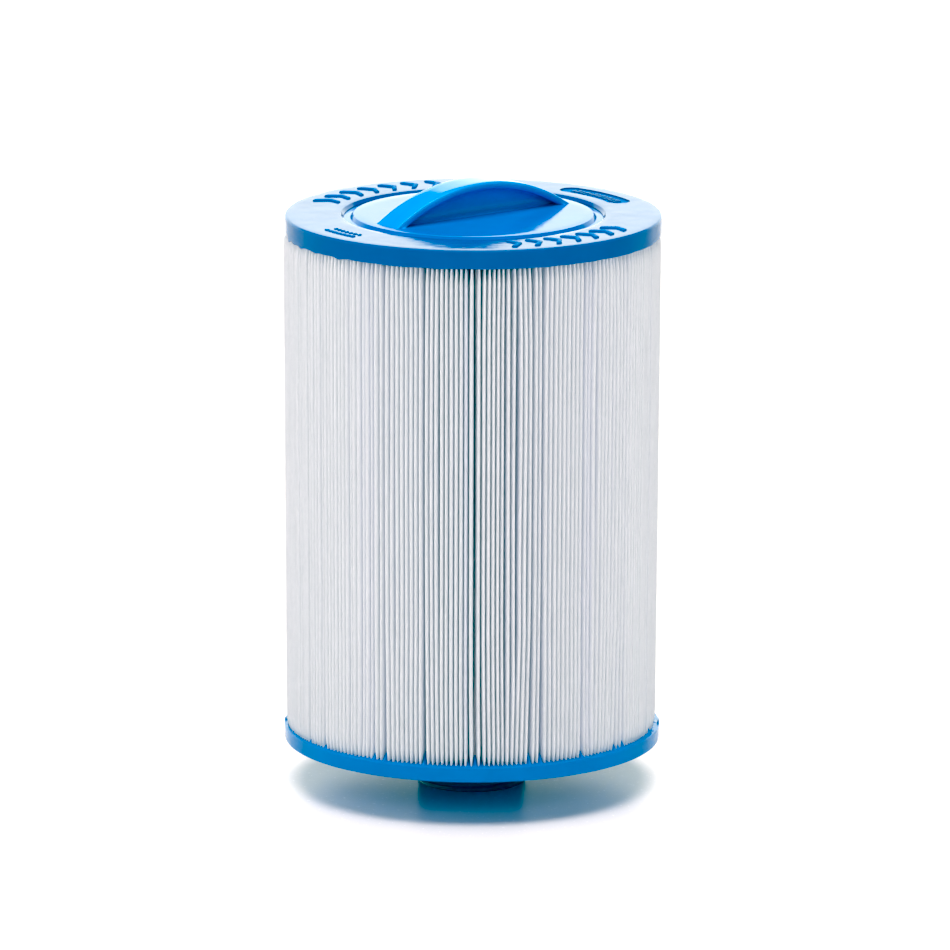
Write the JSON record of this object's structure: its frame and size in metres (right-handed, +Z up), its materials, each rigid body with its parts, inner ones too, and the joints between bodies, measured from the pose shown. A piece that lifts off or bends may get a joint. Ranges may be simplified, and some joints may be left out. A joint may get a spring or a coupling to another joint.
{
  "type": "pleated pool filter cartridge",
  "caption": "Round pleated filter cartridge with cast end caps, an arched carrying handle on top and a short coarse-threaded outlet below.",
  "frame": {"origin": "centre of the threaded stub's end face, the lowest point of the cartridge", "axes": "+Z up along the cartridge's axis from the threaded stub to the handle, +X along the handle"},
  "size_m": [0.1506, 0.1506, 0.2453],
  "materials": {
    "cap_urethane": "glossy cast polyurethane, mid blue",
    "handle_plastic": "glossy moulded plastic, mid blue",
    "media_polyester": "white spun-bonded polyester, matte with fine fibres",
    "seam_glue": "satin hot-melt glue, off-white",
    "core_plastic": "satin moulded plastic, white",
    "adapter_plastic": "satin moulded plastic, dark blue"
  },
  "bodies": {
    "root": {"top_end_cap": "cap_urethane", "bottom_end_cap": "cap_urethane", "handle_plate": "handle_plastic", "pleated_media": "media_polyester", "media_seam": "seam_glue", "core_tube": "core_plastic", "threaded_adapter": "adapter_plastic"}
  },
  "joints": []
}
